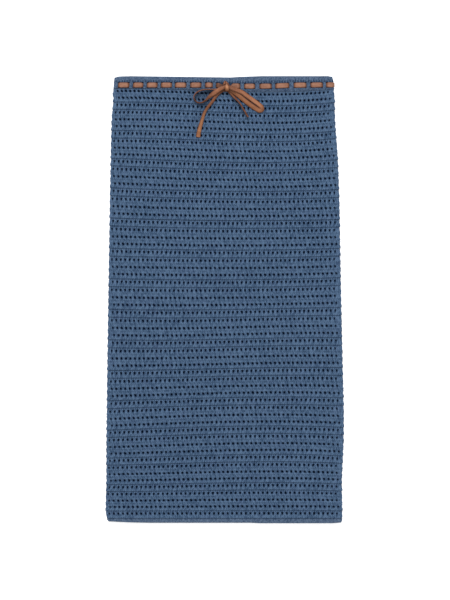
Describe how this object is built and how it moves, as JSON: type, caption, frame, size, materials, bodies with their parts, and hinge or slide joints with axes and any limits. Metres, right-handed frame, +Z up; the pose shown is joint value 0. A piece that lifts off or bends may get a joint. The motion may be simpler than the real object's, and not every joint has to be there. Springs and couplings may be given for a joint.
{
  "type": "knit skirt",
  "caption": "Straight openwork knit midi skirt with ladders of eyelets in ribbed rows, a plain lining, and a flat leather drawstring woven through the waistband and tied in a bow.",
  "frame": {"origin": "on the surface that the skirt lies on, under the middle of its outline as laid flat", "axes": "+Z up out of the skirt's front, +Y along its length towards the waist, +X across it, to the right as seen from above"},
  "size_m": [0.4266, 0.8, 0.0194],
  "materials": {
    "knit": "matte slate-blue cotton openwork knit",
    "band": "matte slate-blue fine plain knit",
    "lining": "matte dark navy woven lining",
    "leather": "smooth tan leather with a low sheen"
  },
  "bodies": {
    "root": {"back_panel": "knit", "lining_back": "lining", "lining_front": "lining", "front_panel": "knit", "waistband_back": "band", "waistband_front": "band", "hem_band_back": "band", "hem_band_front": "band", "drawstring": "leather", "bow_knot": "leather", "bow_loop_left": "leather", "bow_loop_right": "leather", "bow_tail_left": "leather", "bow_tail_right": "leather"}
  },
  "joints": []
}
